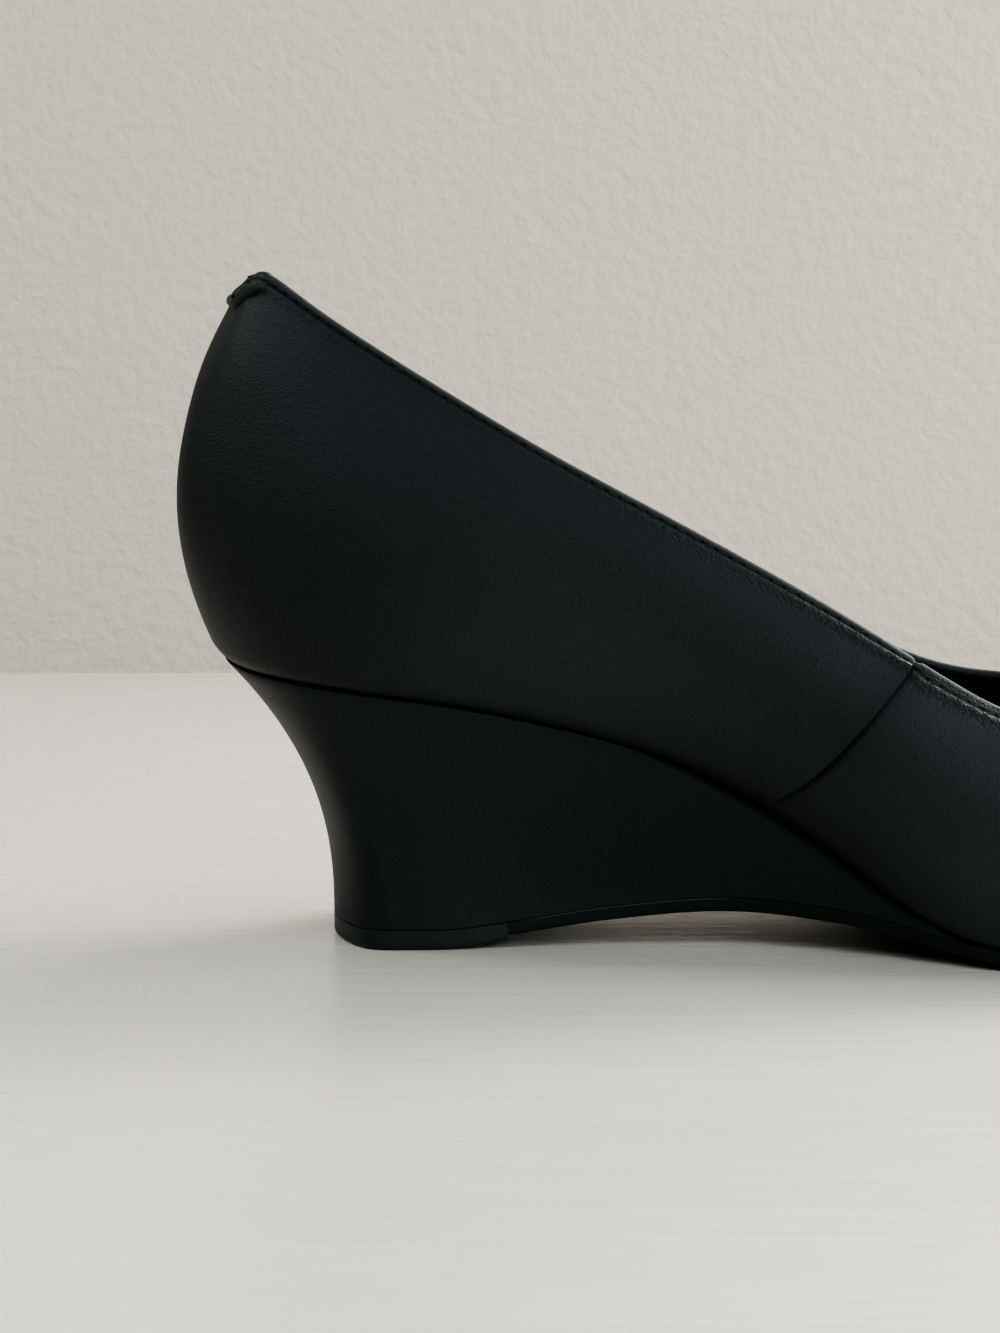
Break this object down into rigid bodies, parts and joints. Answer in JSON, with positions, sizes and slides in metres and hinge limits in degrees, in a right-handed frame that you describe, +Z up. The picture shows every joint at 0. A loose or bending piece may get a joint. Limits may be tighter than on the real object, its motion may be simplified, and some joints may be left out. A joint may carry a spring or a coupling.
{
  "type": "wedge pump",
  "caption": "Closed black leather pump for the left foot on a covered wedge heel, with an open collar, a low throat, a rubber heel tip and a thin sole, standing empty.",
  "frame": {"origin": "on the floor at the middle of the heel tip's flat face, on the shoe's long centre line", "axes": "+X along the shoe from the heel to the toe, +Y to the lateral (outer) side, +Z up; the medial (inner) side faces -Y"},
  "size_m": [0.25, 0.0819, 0.1006],
  "materials": {
    "upper": "black, fine grain, satin",
    "insole": "black, matt",
    "wedge": "black, smooth, satin",
    "outsole": "black, matt",
    "heel_tip": "black, matt",
    "heel_tab": "black, satin"
  },
  "bodies": {
    "root": {"upper": "upper", "insole": "insole", "wedge": "wedge", "outsole": "outsole", "heel_tip": "heel_tip", "heel_tab": "heel_tab"}
  },
  "joints": []
}
